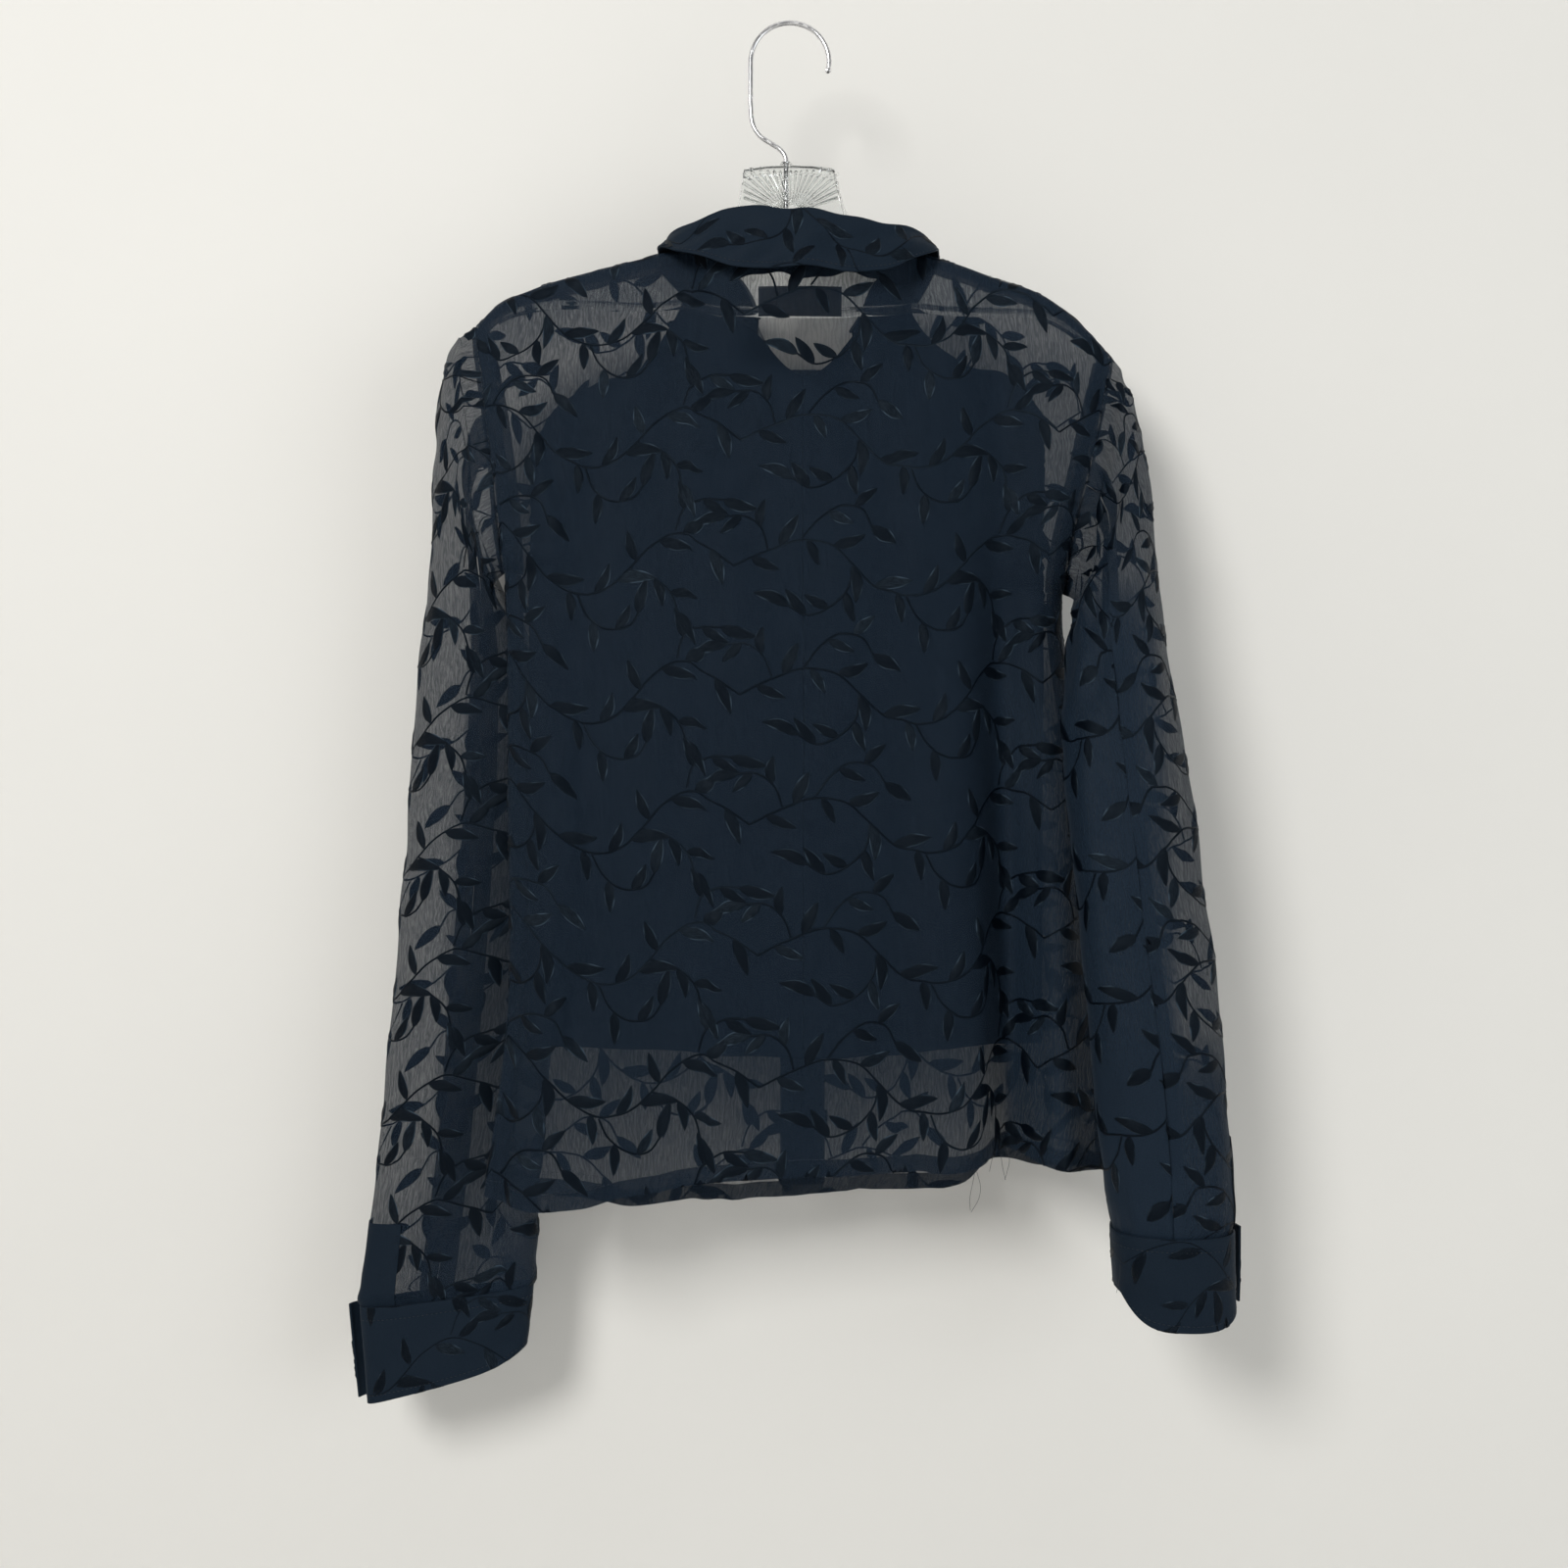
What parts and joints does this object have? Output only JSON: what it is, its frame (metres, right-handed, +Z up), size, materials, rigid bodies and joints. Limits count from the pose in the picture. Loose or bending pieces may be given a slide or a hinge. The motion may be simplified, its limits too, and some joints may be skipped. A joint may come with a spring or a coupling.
{
  "type": "button-down blouse and hanger",
  "caption": "Sheer long-sleeved button-down blouse with a turned-down collar, open cuffs and lined fronts, hung from its back on a clear hanger with a wire hook.",
  "frame": {"origin": "inner top of the hanger's hook, where a rod holds it", "axes": "+Z up; the hanger lies in the XZ plane; the blouse's back faces -Y and its fronts +Y, so its wearer's left is at -X"},
  "size_m": [0.5418, 0.113, 0.849],
  "materials": {
    "sheer_cloth": "navy-black crinkled chiffon with woven leaf vines",
    "doubled_cloth": "the same chiffon, doubled and interfaced",
    "lining_cloth": "plain dark satin lining",
    "label": "plain black woven label",
    "button": "black polyester",
    "clear_plastic": "clear moulded polystyrene",
    "bright_wire": "plated steel wire"
  },
  "bodies": {
    "root": {"back": "sheer_cloth", "front_left": "sheer_cloth", "front_right": "sheer_cloth", "lining_left": "lining_cloth", "lining_right": "lining_cloth", "sleeve_left": "sheer_cloth", "sleeve_right": "sheer_cloth", "cuff_left": "doubled_cloth", "cuff_right": "doubled_cloth", "collar": "doubled_cloth", "neck_label": "label", "button_1": "button", "button_2": "button", "button_3": "button", "button_4": "button", "button_5": "button", "button_6": "button", "cuff_button_left": "button", "cuff_button_right": "button", "hanger": "clear_plastic", "hanger_hook": "bright_wire"}
  },
  "joints": []
}
